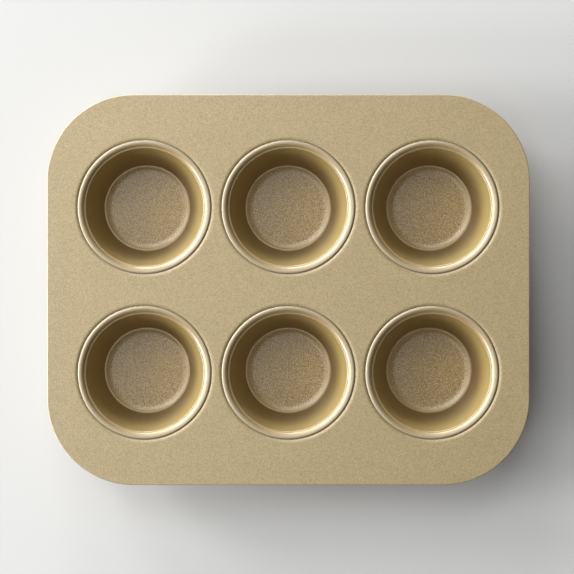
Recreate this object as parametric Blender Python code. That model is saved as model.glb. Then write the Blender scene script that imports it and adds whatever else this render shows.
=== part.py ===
"""Six-cup muffin pan: a deck plate curled round a rim wire, with six drawn cups locked into its holes.

Metres, +Z up. The origin is under the middle of the pan, on the surface that the cups stand on.
+X runs along the longer side and +Y towards the back. Every profile is the face that shows from
above, and the sheet's thickness lies behind it.
"""

import math

import bmesh
import bpy

# Pattern of cups
COLUMNS = ("left", "middle", "right")
ROWS = ("front", "back")
LAND_BETWEEN_COLUMNS = 0.0060  # deck between the rings of neighbouring cups
LAND_BETWEEN_ROWS = 0.0188
END_LAND = 0.0179  # deck from an end cup's ring to the pan's edge
SIDE_LAND = 0.0267
CORNER_RADIUS = 0.0508

# Cup, all on the face that food touches
SHEET = 0.0006
CUP_OPENING_RADIUS = 0.0345  # top of the tapered wall
CUP_BASE_RADIUS = 0.0257  # bottom of the tapered wall
CUP_DEPTH = 0.0349  # ring's crest to floor
FOOT_LEDGE_WIDTH = 0.0008  # ledge at the foot of the wall
FLOOR_SWEEP_RUN = 0.0042  # curve from the flat floor up to that ledge
FLOOR_SWEEP_RISE = 0.0010
SEAT_LEDGE_WIDTH = 0.0009  # ledge at the top of the wall, up to the ring

# Seam of each cup: its rolled ring sits over the upturned collar of a hole in the deck
SEAM_CLEARANCE = 0.0003
CROWN_BEND = 0.00365  # radius of the ring's low crown
CREST_SET_OUT = 0.0025  # from the seat ledge out to the crest
CREST_ABOVE_DECK = 0.0001
LIP_SET_OUT = 0.0013  # from the crest out to the lip's outer face
LIP_INSIDE_BEND = 0.00005
LIP_DEPTH = 0.0018  # crest to the lip's end
DIP_WIDTH = 0.0020  # fall of the deck towards the ring
DIP_DEPTH = 0.0004

# Wired edge
EDGE_INSIDE_BEND = 0.0002  # where the deck turns down
WIRE_DIAMETER = 0.0024
WIRE_CLEARANCE = 0.00035
WIRE_JOINT_GAP = 0.0012
CURL_OPENING = math.radians(75)  # part of the turn that the curl leaves open, under the deck

# Facets
ROUND_STEPS = 28
SWEEP_STEPS = 2
CROWN_STEPS = 3
LIP_STEPS = 2
DIP_STEPS = 2
CORNER_STEPS = 9
EDGE_STEPS = 3
CURL_STEPS = 7
WIRE_SIDES = 10
SMOOTH_BELOW = math.radians(35)
MERGE_DISTANCE = 1e-6

# Colours of the coat and the wire
COAT_COLOUR = (0.50, 0.41, 0.26)
COAT_METALLIC = 0.55
COAT_ROUGHNESS = 0.45
STEEL_COLOUR = (0.50, 0.50, 0.49)
STEEL_METALLIC = 1.0
STEEL_ROUGHNESS = 0.35

# Sizes that follow
FLOOR_HEIGHT = SHEET
CREST_HEIGHT = FLOOR_HEIGHT + CUP_DEPTH
DECK_HEIGHT = CREST_HEIGHT - CREST_ABOVE_DECK
CROWN_CENTRE_HEIGHT = CREST_HEIGHT - CROWN_BEND
NECK_RADIUS = CUP_OPENING_RADIUS + SEAT_LEDGE_WIDTH
CREST_RADIUS = NECK_RADIUS + CREST_SET_OUT
RING_OUTER_RADIUS = CREST_RADIUS + LIP_SET_OUT
LIP_BEND = LIP_INSIDE_BEND + SHEET
CROWN_INNER_TILT = math.asin(CREST_SET_OUT / CROWN_BEND)
CROWN_OUTER_TILT = math.asin((LIP_SET_OUT - LIP_BEND) / (CROWN_BEND - LIP_BEND))
HALF_CROWN_STEP = (CROWN_INNER_TILT + CROWN_OUTER_TILT) / CROWN_STEPS / 2
LIP_END_HEIGHT = CREST_HEIGHT - LIP_DEPTH
GROOVE_RADIUS = RING_OUTER_RADIUS + SEAM_CLEARANCE
GROOVE_HEIGHT = LIP_END_HEIGHT - SEAM_CLEARANCE
EDGE_BEND = EDGE_INSIDE_BEND + SHEET
CURL_RADIUS = WIRE_DIAMETER / 2 + WIRE_CLEARANCE + SHEET
COLUMN_PITCH = 2 * RING_OUTER_RADIUS + LAND_BETWEEN_COLUMNS
ROW_PITCH = 2 * RING_OUTER_RADIUS + LAND_BETWEEN_ROWS
HALF_LENGTH = (len(COLUMNS) - 1) * COLUMN_PITCH / 2 + RING_OUTER_RADIUS + END_LAND
HALF_WIDTH = (len(ROWS) - 1) * ROW_PITCH / 2 + RING_OUTER_RADIUS + SIDE_LAND
QUARTER_TURN = math.pi / 2


def clear_scene():
    for old in list(bpy.data.objects):
        bpy.data.objects.remove(old, do_unlink=True)


def make_material(name, colour, metallic, roughness):
    material = bpy.data.materials.new(name)
    material.use_nodes = True
    shader = material.node_tree.nodes["Principled BSDF"]
    shader.inputs["Base Color"].default_value = (*colour, 1.0)
    shader.inputs["Metallic"].default_value = metallic
    shader.inputs["Roughness"].default_value = roughness
    material.diffuse_color = (*colour, 1.0)
    return material


def add_node(name, mesh, material, place=(0.0, 0.0, 0.0)):
    node = bpy.data.objects.new(name, mesh)
    node.location = place
    if not mesh.materials:
        mesh.materials.append(material)
    bpy.context.scene.collection.objects.link(node)
    return node


def mesh_from(bm, name):
    mesh = bpy.data.meshes.new(name)
    bm.to_mesh(mesh)
    bm.free()
    mesh.shade_smooth()
    mesh.set_sharp_from_angle(angle=SMOOTH_BELOW)
    return mesh


def give_thickness(node):
    """Adds the sheet behind the modelled face, the same all over."""
    sheet = node.modifiers.new("sheet", "SOLIDIFY")
    sheet.thickness = SHEET
    sheet.offset = -1.0
    sheet.use_even_offset = True


def arc(centre, radius, start, end, steps):
    """Points of a profile arc, as (out, up), from one angle to another."""
    turns = [start + (end - start) * step / steps for step in range(steps + 1)]
    return [
        (centre[0] + radius * math.cos(turn), centre[1] + radius * math.sin(turn))
        for turn in turns
    ]


def easing(run, rise):
    """Radius and turn of an arc that leaves a flat and gains the rise over the run."""
    radius = (run**2 + rise**2) / (2 * rise)
    return radius, math.asin(run / radius)


def ring_profile():
    """The rolled ring as (radius, height), from the neck over its low crown and down its lip."""
    start = QUARTER_TURN + CROWN_INNER_TILT
    end = QUARTER_TURN - CROWN_OUTER_TILT
    reach = CROWN_BEND - LIP_BEND
    lip_centre = (
        CREST_RADIUS + reach * math.cos(end),
        CROWN_CENTRE_HEIGHT + reach * math.sin(end),
    )
    return [
        *arc((CREST_RADIUS, CROWN_CENTRE_HEIGHT), CROWN_BEND, start, end, CROWN_STEPS),
        *arc(lip_centre, LIP_BEND, end, 0.0, LIP_STEPS)[1:],
        (RING_OUTER_RADIUS, LIP_END_HEIGHT),
    ]


def cup_profile():
    """From the floor's centre, up the wall and over the ring, as (radius, height)."""
    ring = ring_profile()
    ledge_radius = CUP_BASE_RADIUS - FOOT_LEDGE_WIDTH
    sweep, turn = easing(FLOOR_SWEEP_RUN, FLOOR_SWEEP_RISE)
    sweep_centre = (ledge_radius - FLOOR_SWEEP_RUN, FLOOR_HEIGHT + sweep)
    return [
        (0.0, FLOOR_HEIGHT),
        *arc(sweep_centre, sweep, -QUARTER_TURN, turn - QUARTER_TURN, SWEEP_STEPS),
        (CUP_BASE_RADIUS, FLOOR_HEIGHT + FLOOR_SWEEP_RISE),
        (CUP_OPENING_RADIUS, ring[0][1]),
        *ring,
    ]


def make_cup_mesh():
    """Turns the cup's profile into a closed bowl with its face up and inwards."""
    bm = bmesh.new()
    points = [bm.verts.new((out, 0.0, up)) for out, up in cup_profile()]
    edges = [bm.edges.new(pair) for pair in zip(points, points[1:])]
    bmesh.ops.spin(
        bm,
        geom=points + edges,
        cent=(0.0, 0.0, 0.0),
        axis=(0.0, 0.0, 1.0),
        angle=math.tau,
        steps=ROUND_STEPS,
        use_merge=True,
    )
    bmesh.ops.remove_doubles(bm, verts=bm.verts, dist=MERGE_DISTANCE)
    bmesh.ops.recalc_face_normals(bm, faces=bm.faces)
    floor = min(bm.faces, key=lambda face: face.calc_center_median().z)
    if floor.normal.z < 0:
        bmesh.ops.reverse_faces(bm, faces=bm.faces)
    return mesh_from(bm, "cup")


def cup_centres():
    """Each cup's name and the place of its axis."""
    for row, row_name in enumerate(ROWS):
        for column, column_name in enumerate(COLUMNS):
            x = (column - (len(COLUMNS) - 1) / 2) * COLUMN_PITCH
            y = (row - (len(ROWS) - 1) / 2) * ROW_PITCH
            yield f"cup_{row_name}_{column_name}", (x, y, 0.0)


def rim_outline(inset):
    """The pan's outline, drawn in by the inset, counter-clockwise from the middle of the back."""
    radius = CORNER_RADIUS - inset
    x = HALF_LENGTH - CORNER_RADIUS
    y = HALF_WIDTH - CORNER_RADIUS
    points = []
    for quarter, (centre_x, centre_y) in enumerate([(-x, y), (-x, -y), (x, -y), (x, y)], start=1):
        start = quarter * QUARTER_TURN
        points += arc((centre_x, centre_y), radius, start, start + QUARTER_TURN, CORNER_STEPS)
    return points


def circle_outline(centre, radius):
    return arc(centre, radius, 0.0, math.tau, ROUND_STEPS)[:-1]


def add_loop(bm, outline, height):
    return [bm.verts.new((x, y, height)) for x, y in outline]


def loop_edges(bm, loop):
    return [bm.edges.get(pair) for pair in zip(loop, loop[1:] + loop[:1])]


def join_in_turn(bm, loops):
    """Faces between each closed loop of points and the next, point by point."""
    for first, second in zip(loops, loops[1:]):
        for face in zip(first, first[1:] + first[:1], second[1:] + second[:1], second):
            bm.faces.new(face)


def collar_profile():
    """A hole's edge as (radius, height): the deck's dip, the groove for the lip, and the collar."""
    dip, turn = easing(DIP_WIDTH, DIP_DEPTH)
    dip_centre = (GROOVE_RADIUS + DIP_WIDTH, DECK_HEIGHT - dip)
    hollow = CROWN_BEND * math.cos(HALF_CROWN_STEP) - SHEET - SEAM_CLEARANCE
    return [
        *arc(dip_centre, dip, QUARTER_TURN, QUARTER_TURN + turn, DIP_STEPS),
        (GROOVE_RADIUS, GROOVE_HEIGHT),
        (CREST_RADIUS, GROOVE_HEIGHT),
        (CREST_RADIUS, CROWN_CENTRE_HEIGHT + math.sqrt(hollow**2 - SHEET**2)),
    ]


def curl_profile():
    """The edge as (inset from the outline, height), from the flat deck down and round the wire."""
    bend = arc((-EDGE_BEND, DECK_HEIGHT - EDGE_BEND), EDGE_BEND, QUARTER_TURN, 0.0, EDGE_STEPS)
    end = QUARTER_TURN - math.tau + CURL_OPENING
    curl = arc((-CURL_RADIUS, DECK_HEIGHT - CURL_RADIUS), CURL_RADIUS, 0.0, end, CURL_STEPS)
    return [(-out, height) for out, height in bend + curl]


def make_deck_mesh():
    """The flat sheet between the wired edge and the six holes, and both of these, with the face up."""
    bm = bmesh.new()
    curl = [add_loop(bm, rim_outline(inset), height) for inset, height in curl_profile()]
    join_in_turn(bm, curl)
    flat_edges = loop_edges(bm, curl[0])
    for _, centre in cup_centres():
        collar = [
            add_loop(bm, circle_outline(centre, radius), height)
            for radius, height in collar_profile()
        ]
        join_in_turn(bm, collar)
        flat_edges += loop_edges(bm, collar[0])
    bmesh.ops.triangle_fill(bm, edges=flat_edges, use_beauty=True, normal=(0.0, 0.0, 1.0))
    bmesh.ops.recalc_face_normals(bm, faces=bm.faces)
    flat = max(bm.faces, key=lambda face: abs(face.normal.z))
    if flat.normal.z < 0:
        bmesh.ops.reverse_faces(bm, faces=bm.faces)
    return mesh_from(bm, "deck")


def make_wire_mesh():
    """The rim wire, bent to the outline inside the curl, with its ends meeting at the back."""
    bm = bmesh.new()
    paths = []
    for inset, height in arc(
        (CURL_RADIUS, DECK_HEIGHT - CURL_RADIUS), WIRE_DIAMETER / 2, 0.0, math.tau, WIRE_SIDES
    )[:-1]:
        path = rim_outline(inset)
        back = path[0][1]
        path = [(-WIRE_JOINT_GAP / 2, back), *path, (WIRE_JOINT_GAP / 2, back)]
        paths.append([bm.verts.new((x, y, height)) for x, y in path])
    rings = [list(ring) for ring in zip(*paths)]
    join_in_turn(bm, rings)
    for end in (rings[0], rings[-1]):
        bm.faces.new(end)
    bmesh.ops.recalc_face_normals(bm, faces=bm.faces)
    return mesh_from(bm, "wire")


def main():
    clear_scene()
    coat = make_material("nonstick_coat", COAT_COLOUR, COAT_METALLIC, COAT_ROUGHNESS)
    steel = make_material("wire_steel", STEEL_COLOUR, STEEL_METALLIC, STEEL_ROUGHNESS)

    give_thickness(add_node("deck_plate", make_deck_mesh(), coat))
    add_node("rim_wire", make_wire_mesh(), steel)
    cup_mesh = make_cup_mesh()
    for name, centre in cup_centres():
        give_thickness(add_node(name, cup_mesh, coat, centre))


main()
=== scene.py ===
"""Dressed muffin pan: finely turned cups, a smooth deck with its wired edge, and their coat and steel.

Metres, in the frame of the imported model. The camera stands where the photograph was taken from.
"""

import math

import bmesh
import bpy
from mathutils import Matrix, Vector


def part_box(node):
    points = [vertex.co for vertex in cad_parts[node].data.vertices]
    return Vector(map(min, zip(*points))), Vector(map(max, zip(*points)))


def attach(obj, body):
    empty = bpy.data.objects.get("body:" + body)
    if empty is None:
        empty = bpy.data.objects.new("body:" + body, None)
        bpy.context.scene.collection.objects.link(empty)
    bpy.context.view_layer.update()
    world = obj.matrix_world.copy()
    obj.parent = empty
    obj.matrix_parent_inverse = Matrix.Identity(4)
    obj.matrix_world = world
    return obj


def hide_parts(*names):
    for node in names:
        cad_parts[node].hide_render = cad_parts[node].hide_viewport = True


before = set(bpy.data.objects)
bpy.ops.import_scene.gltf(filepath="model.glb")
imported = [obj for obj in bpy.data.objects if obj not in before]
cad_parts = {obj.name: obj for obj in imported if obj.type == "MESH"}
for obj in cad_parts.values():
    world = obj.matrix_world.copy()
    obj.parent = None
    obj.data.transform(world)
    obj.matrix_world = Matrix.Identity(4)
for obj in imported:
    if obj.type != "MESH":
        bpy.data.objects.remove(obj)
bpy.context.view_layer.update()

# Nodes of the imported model
DECK = "deck_plate"
WIRE = "rim_wire"
CUPS = sorted(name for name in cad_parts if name.startswith("cup_"))
BODY = "root"

# Sheet, and the cup's profile on the face that food touches
SHEET = 0.0006
CORNER_RADIUS = 0.0508
OPENING_RADIUS = 0.0346
BASE_RADIUS = 0.0256
FOOT_LEDGE_RADIUS = 0.0247
FOOT_LEDGE_HEIGHT = 0.0016
FLOOR_EDGE_RADIUS = 0.0228
FLOOR_HEIGHT = SHEET
NECK_RADIUS = 0.0355

# Seam: the ring's low crown and its lip, and the dip, groove and collar of the deck under it
CREST_HEIGHT = 0.0355
CREST_ABOVE_DECK = 0.0001
CREST_RADIUS = 0.0380
CROWN_BEND = 0.00365
OUTER_CROWN_BEND = 0.0022
RING_OUTER_RADIUS = 0.03925
LIP_BEND = 0.00065
LIP_DEPTH = 0.0018
SEAM_CLEARANCE = 0.0003
SEAM_GAP = 0.00008
DIP_WIDTH = 0.0020
DIP_DEPTH = 0.0004
DECK_TOP = CREST_HEIGHT - CREST_ABOVE_DECK
SEAT_HEIGHT = CREST_HEIGHT - CROWN_BEND + math.sqrt(CROWN_BEND**2 - (CREST_RADIUS - NECK_RADIUS) ** 2)
GROOVE_RADIUS = RING_OUTER_RADIUS + SEAM_GAP
GROOVE_HEIGHT = CREST_HEIGHT - LIP_DEPTH - SEAM_CLEARANCE

# Rounding of the cup's bends
FLOOR_SWEEP = 0.0070
FOOT_STEP_BEND = 0.0003
FOOT_BEND = 0.00015
WALL_TOP_BEND = 0.0005

# Wired edge
EDGE_BEND = 0.0004
CURL_OPENING = math.radians(75)
WIRE_DIAMETER = 0.0024
WIRE_CLEARANCE = 0.00035
WIRE_JOINT_GAP = 0.0012
CURL_RADIUS = WIRE_DIAMETER / 2 + WIRE_CLEARANCE + SHEET

# Fineness of the meshes
TURNED_STEPS = 96
BEND_STEP = math.radians(7)
LEAST_BEND_STEPS = 2
STRAIGHT_WITHIN = 1e-4
CROWN_STEPS = 20
LIP_STEPS = 10
DIP_STEPS = 8
CORNER_STEPS = 32
EDGE_STEPS = 8
CURL_STEPS = 20
WIRE_SIDES = 20
SUPPORT = 0.00035
LONG_STRAIGHT = 4 * SUPPORT
SMOOTH_BELOW = math.radians(50)
MERGE_DISTANCE = 1e-7

# Camera: over the pan, a little to the left of its middle and behind it
PHOTO_FRAME_WIDTH = 0.3367
CAMERA_HEIGHT = 1.547
CAMERA_PLACE = (-0.0093, 0.0223)
AIM_PLACE = (-0.00088, 0.00176)
SENSOR_WIDTH_MM = 36.0

# Light: low windows in a row on the left and behind, and weaker ones higher up
# Each has its direction from +X and its height, in degrees, its width and its strength on the pan
WINDOWS = (
    (98, 6, 0.9, 0.152),
    (125, 6, 0.9, 0.294),
    (205, 6, 0.9, 0.168),
    (98, 12, 0.9, 0.399),
    (180, 12, 0.9, 0.452),
    (125, 18, 0.9, 0.389),
    (152, 18, 0.9, 0.536),
    (180, 18, 0.9, 0.289),
    (205, 18, 0.9, 0.462),
    (140, 36, 1.2, 0.116),
    (165, 36, 1.2, 0.105),
    (195, 36, 1.2, 0.102),
    (90, 54, 1.35, 0.075),
    (133, 54, 1.35, 0.116),
    (120, 72, 1.2, 0.067),
    (180, 72, 1.2, 0.021),
    (225, 72, 1.2, 0.044),
    (0, 90, 1.8, 0.021),
)
WINDOW_DISTANCE = 3.7
FILL_STRENGTH = 0.005

# Pale floor that the pan stands on
STAGE_SIZE = 12.0
STAGE_COLOUR = (0.64, 0.64, 0.63)
STAGE_ROUGHNESS = 0.7
STAGE_SPECULAR = 0.0
STAGE_CLOUD_SCALE = 3.0
STAGE_CLOUD_TONE = 0.015

# Colours of the coat, with painted light and shade in some of the cup's: the deck's, and a cup's by the
# distance from its axis, from floor to ring
DECK_COLOUR = (0.430, 0.328, 0.150)
FLOOR_COAT = (0.505, 0.348, 0.115)
# Foot ledge: the coat brightened into a painted highlight along the thin ledge line
LEDGE_COAT_AND_HIGHLIGHT = (0.580, 0.395, 0.110)
# Floor sweep: the coat lightened and paled into a painted sheen on the rising sweep
SWEEP_COAT_AND_SHEEN = (0.600, 0.445, 0.205)
# Wall foot: painted shade, darkest at the wall's foot and fading up the wall
FOOT_PAINTED_SHADE = (0.215, 0.130, 0.035)
# Wall: the coat darkened and saturated, partly painted shade for the shaded walls
WALL_COAT_AND_SHADE = (0.305, 0.203, 0.050)
# Wall top: lighter than the wall, painted light on the wall's upper part
WALL_TOP_COAT_AND_LIGHT = (0.355, 0.255, 0.075)
SEAT_COAT = (0.410, 0.290, 0.125)
# Ring: the coat paled and blued, partly a painted sheen that whitens the crown's highlights
RING_COAT_AND_SHEEN = (0.425, 0.345, 0.205)
# Lip: painted shade on the lip's outer side, darkening the seam line
LIP_PAINTED_SHADE = (0.290, 0.230, 0.130)
COLOUR_EDGE = 0.0001
# Stops out from the cup's axis: the ledge, sweep, foot, wall, wall top, ring and lip stops hold painted
# light and shade as well as the coat
CUP_COATS_AND_PAINTED_LIGHT = (
    (0.0212, FLOOR_COAT),
    (FLOOR_EDGE_RADIUS, SWEEP_COAT_AND_SHEEN),
    (FOOT_LEDGE_RADIUS - COLOUR_EDGE, SWEEP_COAT_AND_SHEEN),
    (FOOT_LEDGE_RADIUS + COLOUR_EDGE, LEDGE_COAT_AND_HIGHLIGHT),
    (BASE_RADIUS - COLOUR_EDGE, LEDGE_COAT_AND_HIGHLIGHT),
    (BASE_RADIUS + COLOUR_EDGE, FOOT_PAINTED_SHADE),
    (0.0290, WALL_COAT_AND_SHADE),
    (0.0325, WALL_TOP_COAT_AND_LIGHT),
    (OPENING_RADIUS - 2 * COLOUR_EDGE, WALL_TOP_COAT_AND_LIGHT),
    (OPENING_RADIUS + COLOUR_EDGE, SEAT_COAT),
    (0.0366, SEAT_COAT),
    (0.0378, RING_COAT_AND_SHEEN),
    (0.0386, RING_COAT_AND_SHEEN),
    (0.0390, LIP_PAINTED_SHADE),
)

# Finish of the coat: a rough metallic base under a smoother glaze, with soft clouds and a fine grain
COAT_METALLIC = 0.5
COAT_ROUGHNESS = 0.6
GLAZE_ROUGHNESS = 0.35
GLAZE_IOR = 2.05
CLOUD_SCALE = 60.0
CLOUD_TONE = 0.015
CLOUD_ROUGHNESS = 0.03
GRAIN_SCALE = 1600.0
DECK_GRAIN_TONE = 0.38
CUP_GRAIN_TONE = 0.15
GRAIN_HEIGHT = 0.00003
BUMP_STRENGTH = 0.5

# How far the grain moves red, green and blue, so that its light and dark specks have one hue
DECK_GRAIN_TINT = (0.82, 1.03, 1.64)
CUP_GRAIN_TINT = (0.80, 1.17, 2.50)

# Coarser speckle on the cups' floors, raised higher than the grain by this factor
# It fades out over this radius and over this height
SPECKLE_SCALE = 1350.0
SPECKLE_TONE = 0.87
SPECKLE_OVER_GRAIN = 3.0
SPECKLE_RADIUS = (0.0240, 0.0222)
SPECKLE_LEVEL = (0.0018, 0.0010)

# Drawn steel of the wire
STEEL_TONE = 0.49
STEEL_TONE_SPREAD = 0.07
STEEL_ROUGHNESS = 0.35
STEEL_ROUGHNESS_SPREAD = 0.06
PATCH_SCALE = 90.0
STREAK_SCALE = 1500.0
STREAK_HEIGHT = 0.00002

# Noise: the cut through its fourth dimension, and the stretch that holds nearly all its values
NOISE_CUT = 0.5
NOISE_LOW = 0.25
NOISE_HIGH = 0.75


def arc(centre, radius, start, end, steps):
    """Points along an arc, from the start angle to the end angle."""
    turns = [start + (end - start) * step / steps for step in range(steps + 1)]
    return [
        (centre[0] + radius * math.cos(turn), centre[1] + radius * math.sin(turn))
        for turn in turns
    ]


def rounded(corners):
    """A profile through (out, up, bend radius) corners, with each bend turned in small steps."""
    path = [Vector(corners[0][:2])]
    for before, corner, after in zip(corners, corners[1:], corners[2:]):
        here = Vector(corner[:2])
        to_before = (Vector(before[:2]) - here).normalized()
        to_after = (Vector(after[:2]) - here).normalized()
        opening = to_before.angle(to_after)
        if corner[2] <= 0 or math.pi - opening < STRAIGHT_WITHIN:
            path.append(here)
            continue
        cut = corner[2] / math.tan(opening / 2)
        centre = here + (to_before + to_after).normalized() * corner[2] / math.sin(opening / 2)
        first = here + to_before * cut - centre
        last = here + to_after * cut - centre
        turn = math.atan2(first.cross(last), first.dot(last))
        steps = max(LEAST_BEND_STEPS, math.ceil(abs(turn) / BEND_STEP))
        for step in range(steps + 1):
            spun = first.copy()
            spun.rotate(Matrix.Rotation(turn * step / steps, 2))
            path.append(centre + spun)
    path.append(Vector(corners[-1][:2]))
    return path


def supported(path):
    """The same profile with a point near both ends of each long straight, to keep its shading flat."""
    points = [path[0]]
    for start, end in zip(path, path[1:]):
        length = (end - start).length
        if length > LONG_STRAIGHT:
            along = (end - start) * (SUPPORT / length)
            points += [start + along, end - along]
        points.append(end)
    return points


def mesh_from(bm, name):
    mesh = bpy.data.meshes.new(name)
    bm.to_mesh(mesh)
    bm.free()
    mesh.shade_smooth()
    mesh.set_sharp_from_angle(angle=SMOOTH_BELOW)
    return mesh


def add_piece(name, mesh, material, node, place=(0.0, 0.0, 0.0)):
    piece = bpy.data.objects.new(name, mesh)
    piece.location = place
    if not mesh.materials:
        mesh.materials.append(material)
    bpy.context.scene.collection.objects.link(piece)
    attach(piece, BODY)
    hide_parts(node)
    return piece


def give_thickness(piece):
    sheet = piece.modifiers.new("sheet", "SOLIDIFY")
    sheet.thickness = SHEET
    sheet.offset = -1.0
    sheet.use_even_offset = True


def crown_profile():
    """The ring's crown from the seat ledge over its crest, and its lip turned down into the seam."""
    up = math.pi / 2
    inner_tilt = math.asin((CREST_RADIUS - NECK_RADIUS) / CROWN_BEND)
    reach = OUTER_CROWN_BEND - LIP_BEND
    outer_tilt = math.asin((RING_OUTER_RADIUS - CREST_RADIUS - LIP_BEND) / reach)
    centre = (CREST_RADIUS, CREST_HEIGHT - CROWN_BEND)
    outer_centre = (CREST_RADIUS, CREST_HEIGHT - OUTER_CROWN_BEND)
    lip_centre = (
        outer_centre[0] + reach * math.sin(outer_tilt),
        outer_centre[1] + reach * math.cos(outer_tilt),
    )
    inside = arc(centre, CROWN_BEND, up + inner_tilt, up, CROWN_STEPS)
    outside = arc(outer_centre, OUTER_CROWN_BEND, up, up - outer_tilt, LIP_STEPS)
    lip = arc(lip_centre, LIP_BEND, up - outer_tilt, 0.0, LIP_STEPS)
    return [*inside, *outside[1:], *lip[1:], (RING_OUTER_RADIUS, CREST_HEIGHT - LIP_DEPTH)]


def cup_profile():
    corners = [
        (0.0, FLOOR_HEIGHT, 0.0),
        (FLOOR_EDGE_RADIUS, FLOOR_HEIGHT, FLOOR_SWEEP),
        (FOOT_LEDGE_RADIUS, FOOT_LEDGE_HEIGHT, FOOT_STEP_BEND),
        (BASE_RADIUS, FOOT_LEDGE_HEIGHT, FOOT_BEND),
        (OPENING_RADIUS, SEAT_HEIGHT, WALL_TOP_BEND),
        (NECK_RADIUS, SEAT_HEIGHT, 0.0),
    ]
    return supported(rounded(corners)[:-1] + [Vector(point) for point in crown_profile()])


def make_cup_mesh():
    bm = bmesh.new()
    points = [bm.verts.new((point.x, 0.0, point.y)) for point in cup_profile()]
    edges = [bm.edges.new(pair) for pair in zip(points, points[1:])]
    bmesh.ops.spin(
        bm,
        geom=points + edges,
        cent=(0.0, 0.0, 0.0),
        axis=(0.0, 0.0, 1.0),
        angle=math.tau,
        steps=TURNED_STEPS,
        use_merge=True,
    )
    bmesh.ops.remove_doubles(bm, verts=bm.verts, dist=MERGE_DISTANCE)
    bmesh.ops.recalc_face_normals(bm, faces=bm.faces)
    floor = min(bm.faces, key=lambda face: face.calc_center_median().z)
    if floor.normal.z < 0:
        bmesh.ops.reverse_faces(bm, faces=bm.faces)
    return mesh_from(bm, "cup_skin")


def rim_outline(low, high, inset):
    """The pan's outline, drawn in by the inset, counter-clockwise from the left end of the back."""
    radius = CORNER_RADIUS - inset
    x_low, x_high = low.x + CORNER_RADIUS, high.x - CORNER_RADIUS
    y_low, y_high = low.y + CORNER_RADIUS, high.y - CORNER_RADIUS
    centres = [(x_low, y_high), (x_low, y_low), (x_high, y_low), (x_high, y_high)]
    points = []
    for quarter, centre in enumerate(centres, start=1):
        start = quarter * math.pi / 2
        points += arc(centre, radius, start, start + math.pi / 2, CORNER_STEPS)
    return points


def add_loop(bm, outline, height):
    return [bm.verts.new((x, y, height)) for x, y in outline]


def join_in_turn(bm, loops):
    """Faces between each closed loop of points and the next, point by point."""
    for first, second in zip(loops, loops[1:]):
        for side in zip(first, first[1:] + first[:1], second[1:] + second[:1], second):
            bm.faces.new(side)


def loop_edges(bm, loop):
    return [bm.edges.get(pair) for pair in zip(loop, loop[1:] + loop[:1])]


def curl_profile(top):
    """The wired edge as (inset, height): the flat deck, a tight bend, and the curl under the wire."""
    up = math.pi / 2
    flat = [(EDGE_BEND + SUPPORT * reach, top) for reach in (2, 1)]
    bend = arc((-EDGE_BEND, top - EDGE_BEND), EDGE_BEND, up, 0.0, EDGE_STEPS)
    end = up - math.tau + CURL_OPENING
    curl = arc((-CURL_RADIUS, top - CURL_RADIUS), CURL_RADIUS, 0.0, end, CURL_STEPS)
    return flat + [(-out, height) for out, height in bend + curl]


def collar_profile(top):
    """A hole's edge as (radius, height): the flat deck, its dip, the groove, and the upturned collar."""
    up = math.pi / 2
    dip_bend = (DIP_WIDTH**2 + DIP_DEPTH**2) / (2 * DIP_DEPTH)
    tilt = math.asin(DIP_WIDTH / dip_bend)
    dip = arc((GROOVE_RADIUS + DIP_WIDTH, top - dip_bend), dip_bend, up, up + tilt, DIP_STEPS)
    hollow = CROWN_BEND - SHEET - SEAM_CLEARANCE
    collar_top = CREST_HEIGHT - CROWN_BEND + math.sqrt(hollow**2 - SHEET**2)
    return [
        (dip[0][0] + SUPPORT, top),
        *dip,
        (GROOVE_RADIUS, GROOVE_HEIGHT),
        (CREST_RADIUS, GROOVE_HEIGHT),
        (CREST_RADIUS, collar_top),
    ]


def make_deck_mesh(low, high, holes):
    bm = bmesh.new()
    curl = [
        add_loop(bm, rim_outline(low, high, inset), height)
        for inset, height in curl_profile(high.z)
    ]
    join_in_turn(bm, curl)
    flat_edges = loop_edges(bm, curl[0])
    for hole in holes:
        collar = [
            add_loop(bm, arc(hole, radius, 0.0, math.tau, TURNED_STEPS)[:-1], height)
            for radius, height in collar_profile(high.z)
        ]
        join_in_turn(bm, collar)
        flat_edges += loop_edges(bm, collar[0])
    bmesh.ops.triangle_fill(bm, edges=flat_edges, use_beauty=True, normal=(0.0, 0.0, 1.0))
    bmesh.ops.recalc_face_normals(bm, faces=bm.faces)
    flat = max(bm.faces, key=lambda face: abs(face.normal.z))
    if flat.normal.z < 0:
        bmesh.ops.reverse_faces(bm, faces=bm.faces)
    return mesh_from(bm, "deck_skin")


def make_wire_mesh(low, high):
    bm = bmesh.new()
    paths = []
    middle = (CURL_RADIUS, high.z - CURL_RADIUS)
    section = arc(middle, WIRE_DIAMETER / 2, 0.0, math.tau, WIRE_SIDES)
    for inset, height in section[:-1]:
        path = rim_outline(low, high, inset)
        back = path[0][1]
        path = [(-WIRE_JOINT_GAP / 2, back), *path, (WIRE_JOINT_GAP / 2, back)]
        paths.append([bm.verts.new((x, y, height)) for x, y in path])
    rings = [list(ring) for ring in zip(*paths)]
    join_in_turn(bm, rings)
    for end in (rings[0], rings[-1]):
        bm.faces.new(end)
    bmesh.ops.recalc_face_normals(bm, faces=bm.faces)
    return mesh_from(bm, "wire_skin")


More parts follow.
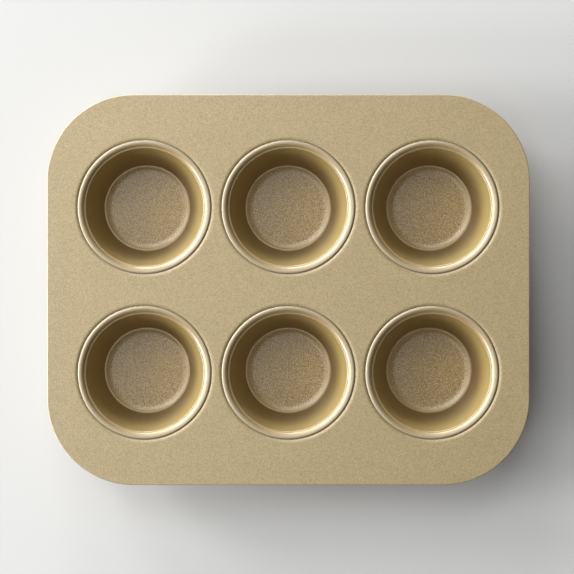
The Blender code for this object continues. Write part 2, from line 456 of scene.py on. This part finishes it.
class Nodes:
    """Adds and links the nodes of one material."""

    def __init__(self, name):
        self.material = bpy.data.materials.new(name)
        self.material.use_nodes = True
        self.tree = self.material.node_tree
        self.shader = self.tree.nodes["Principled BSDF"]

    def add(self, kind, inputs=None, **settings):
        node = self.tree.nodes.new(kind)
        for key, value in settings.items():
            setattr(node, key, value)
        for key, value in (inputs or {}).items():
            self.feed(node.inputs[key], value)
        return node

    def feed(self, socket, value):
        if isinstance(value, bpy.types.NodeSocket):
            self.tree.links.new(value, socket)
        else:
            socket.default_value = value

    def maths(self, operation, a, b=0.0):
        return self.add("ShaderNodeMath", {0: a, 1: b}, operation=operation).outputs[0]

    def vector(self, operation, *inputs):
        node = self.add("ShaderNodeVectorMath", dict(enumerate(inputs)), operation=operation)
        return node.outputs["Vector"]

    def noise(self, place, scale):
        """Noise cut half way between its lattice points, so that it stays even on every flat face."""
        inputs = {"Vector": place, "W": NOISE_CUT, "Scale": scale}
        return self.add("ShaderNodeTexNoise", inputs, noise_dimensions="4D").outputs["Fac"]

    def ramp(self, value, low, high, out_low=0.0, out_high=1.0, kind="LINEAR"):
        reach = {"From Min": low, "From Max": high, "To Min": out_low, "To Max": out_high}
        inputs = {"Value": value, **reach}
        return self.add("ShaderNodeMapRange", inputs, interpolation_type=kind).outputs["Result"]

    def spread(self, noise, middle, reach):
        """The noise spread from the middle less the reach to the middle plus the reach."""
        return self.ramp(noise, NOISE_LOW, NOISE_HIGH, middle - reach, middle + reach)

    def blend(self, share, first, second):
        inputs = {"Factor": share, "A": first, "B": second}
        return self.add("ShaderNodeMix", inputs, data_type="FLOAT").outputs["Result"]

    def bump(self, height, strength, distance):
        inputs = {"Height": height, "Strength": strength, "Distance": distance}
        return self.add("ShaderNodeBump", inputs).outputs["Normal"]

    def bands(self, value, whole, stops):
        """An RGB value for each stretch of a length, blended between (length, RGB) stops; on a cup, some
        stops carry painted light and shade.
        """
        part = self.maths("DIVIDE", value, whole)
        node = self.add("ShaderNodeValToRGB", {"Fac": part})
        points = node.color_ramp.elements
        while len(points) < len(stops):
            points.new(1.0)
        for point, (length, coat_and_painted_light) in zip(points, stops):
            point.position = length / whole
            point.color = (*coat_and_painted_light, 1.0)
        return node.outputs["Color"]

    def own_place(self):
        """The object's own coordinates."""
        return self.add("ShaderNodeTexCoord").outputs["Object"]

    def moved(self, own):
        """The object's own coordinates moved by its place, so that no two cups match."""
        return self.vector("ADD", self.add("ShaderNodeObjectInfo").outputs["Location"], own)

    def finish(self, **inputs):
        """Feeds the shader's inputs, named with _ for each space, and returns the material."""
        for key, value in inputs.items():
            self.feed(self.shader.inputs[key.replace("_", " ")], value)
        return self.material


def speckle_mask(nodes, own, radius):
    """One on a cup's floor and nought on its wall, ring and underside."""
    level = nodes.add("ShaderNodeSeparateXYZ", {"Vector": own}).outputs["Z"]
    inside = nodes.ramp(radius, *SPECKLE_RADIUS, kind="SMOOTHSTEP")
    return nodes.maths("MULTIPLY", inside, nodes.ramp(level, *SPECKLE_LEVEL))


def make_coat(name, on_cup):
    nodes = Nodes(name)
    own = nodes.own_place()
    place = nodes.moved(own)
    grain = nodes.noise(place, GRAIN_SCALE)
    cloud = nodes.noise(place, CLOUD_SCALE)
    grain_tone = nodes.spread(grain, 1.0, CUP_GRAIN_TONE if on_cup else DECK_GRAIN_TONE)
    tone = nodes.maths("MULTIPLY", grain_tone, nodes.spread(cloud, 1.0, CLOUD_TONE))
    height = grain
    coat_and_painted_light = DECK_COLOUR
    if on_cup:
        flat = nodes.vector("MULTIPLY", own, (1.0, 1.0, 0.0))
        radius = nodes.add("ShaderNodeVectorMath", {0: flat}, operation="LENGTH").outputs["Value"]
        # The cup's base colour by radius, with painted shade on the wall, foot and lip and painted sheen
        # on the sweep, ledge, wall top and ring
        coat_and_painted_light = nodes.bands(radius, RING_OUTER_RADIUS, CUP_COATS_AND_PAINTED_LIGHT)
        mask = speckle_mask(nodes, own, radius)
        speckle = nodes.noise(place, SPECKLE_SCALE)
        speckle_tone = nodes.spread(speckle, 1.0, SPECKLE_TONE)
        tone = nodes.maths("MULTIPLY", tone, nodes.blend(mask, 1.0, speckle_tone))
        raised = nodes.maths("MULTIPLY", speckle, SPECKLE_OVER_GRAIN)
        height = nodes.maths("ADD", height, nodes.maths("MULTIPLY", raised, mask))
    tint = CUP_GRAIN_TINT if on_cup else DECK_GRAIN_TINT
    shift = nodes.maths("SUBTRACT", tone, 1.0)
    share = nodes.vector("MULTIPLY_ADD", tint, shift, (1.0, 1.0, 1.0))
    share = nodes.vector("MAXIMUM", share, (0.0, 0.0, 0.0))
    bump = nodes.bump(height, BUMP_STRENGTH, GRAIN_HEIGHT)
    return nodes.finish(
        Base_Color=nodes.vector("MULTIPLY", coat_and_painted_light, share),
        Roughness=nodes.spread(cloud, COAT_ROUGHNESS, CLOUD_ROUGHNESS),
        Metallic=COAT_METALLIC,
        Coat_Weight=1.0,
        Coat_Roughness=GLAZE_ROUGHNESS,
        Coat_IOR=GLAZE_IOR,
        Normal=bump,
        Coat_Normal=bump,
    )


def make_steel():
    nodes = Nodes("drawn_wire_steel")
    own = nodes.own_place()
    streaks = nodes.noise(own, STREAK_SCALE)
    patches = nodes.noise(own, PATCH_SCALE)
    tone = nodes.spread(patches, STEEL_TONE, STEEL_TONE_SPREAD)
    grey = nodes.add("ShaderNodeCombineColor", {"Red": tone, "Green": tone, "Blue": tone})
    return nodes.finish(
        Base_Color=grey.outputs["Color"],
        Roughness=nodes.spread(streaks, STEEL_ROUGHNESS, STEEL_ROUGHNESS_SPREAD),
        Metallic=1.0,
        Normal=nodes.bump(streaks, BUMP_STRENGTH, STREAK_HEIGHT),
    )


def make_stage():
    nodes = Nodes("pale_floor")
    cloud = nodes.noise(nodes.own_place(), STAGE_CLOUD_SCALE)
    tone = nodes.spread(cloud, 1.0, STAGE_CLOUD_TONE)
    material = nodes.finish(
        Base_Color=nodes.vector("MULTIPLY", STAGE_COLOUR, tone),
        Roughness=STAGE_ROUGHNESS,
        Specular_IOR_Level=STAGE_SPECULAR,
    )
    bm = bmesh.new()
    bmesh.ops.create_grid(bm, x_segments=1, y_segments=1, size=STAGE_SIZE / 2)
    mesh = bpy.data.meshes.new("floor")
    bm.to_mesh(mesh)
    bm.free()
    floor = bpy.data.objects.new("floor", mesh)
    mesh.materials.append(material)
    bpy.context.scene.collection.objects.link(floor)


def aim(camera, target):
    """Turns the camera to look at the target, with the pan's back at the top of the picture."""
    forward = (target - camera.location).normalized()
    right = forward.cross(Vector((0.0, 1.0, 0.0))).normalized()
    above = right.cross(forward)
    camera.rotation_euler = Matrix((right, above, -forward)).transposed().to_euler()


def add_camera(deck_top):
    data = bpy.data.cameras.new("camera")
    data.sensor_width = SENSOR_WIDTH_MM
    camera = bpy.data.objects.new("camera", data)
    camera.location = (*CAMERA_PLACE, deck_top + CAMERA_HEIGHT)
    target = Vector((*AIM_PLACE, deck_top))
    aim(camera, target)
    data.lens = SENSOR_WIDTH_MM * (camera.location - target).length / PHOTO_FRAME_WIDTH
    bpy.context.scene.collection.objects.link(camera)
    bpy.context.scene.camera = camera


def add_window(centre, azimuth, elevation, width, strength):
    """A round lamp that lights a surface facing it as a sky of the given strength would."""
    data = bpy.data.lights.new("window", "AREA")
    data.shape = "DISK"
    data.size = width
    data.energy = strength * (math.pi * WINDOW_DISTANCE) ** 2
    window = bpy.data.objects.new("window", data)
    turn, rise = math.radians(azimuth), math.radians(elevation)
    away = Vector((math.cos(turn) * math.cos(rise), math.sin(turn) * math.cos(rise), math.sin(rise)))
    window.location = centre + away * WINDOW_DISTANCE
    window.rotation_euler = away.to_track_quat("Z", "Y").to_euler()
    bpy.context.scene.collection.objects.link(window)


def add_lights(centre):
    for window in WINDOWS:
        add_window(centre, *window)
    world = bpy.data.worlds.new("fill")
    world.use_nodes = True
    background = world.node_tree.nodes["Background"]
    background.inputs["Color"].default_value = (1.0, 1.0, 1.0, 1.0)
    background.inputs["Strength"].default_value = FILL_STRENGTH
    bpy.context.scene.world = world


def main():
    deck_low, deck_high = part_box(DECK)
    deck_high.z = DECK_TOP
    holes = []
    cup_coat = make_coat("cup_coat", on_cup=True)
    cup_mesh = make_cup_mesh()
    for node in CUPS:
        low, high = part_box(node)
        x, y, _ = (low + high) / 2
        holes.append((x, y))
        cup = add_piece("coated_" + node, cup_mesh, cup_coat, node, (x, y, low.z))
        give_thickness(cup)

    deck_mesh = make_deck_mesh(deck_low, deck_high, holes)
    deck = add_piece("coated_deck", deck_mesh, make_coat("deck_coat", on_cup=False), DECK)
    give_thickness(deck)
    wire_mesh = make_wire_mesh(deck_low, deck_high)
    add_piece("bright_rim_wire", wire_mesh, make_steel(), WIRE)

    make_stage()
    add_lights(Vector((0.0, 0.0, deck_high.z)))
    add_camera(deck_high.z)
    bpy.context.scene.view_settings.view_transform = "Standard"

    bpy.context.view_layer.update()


main()
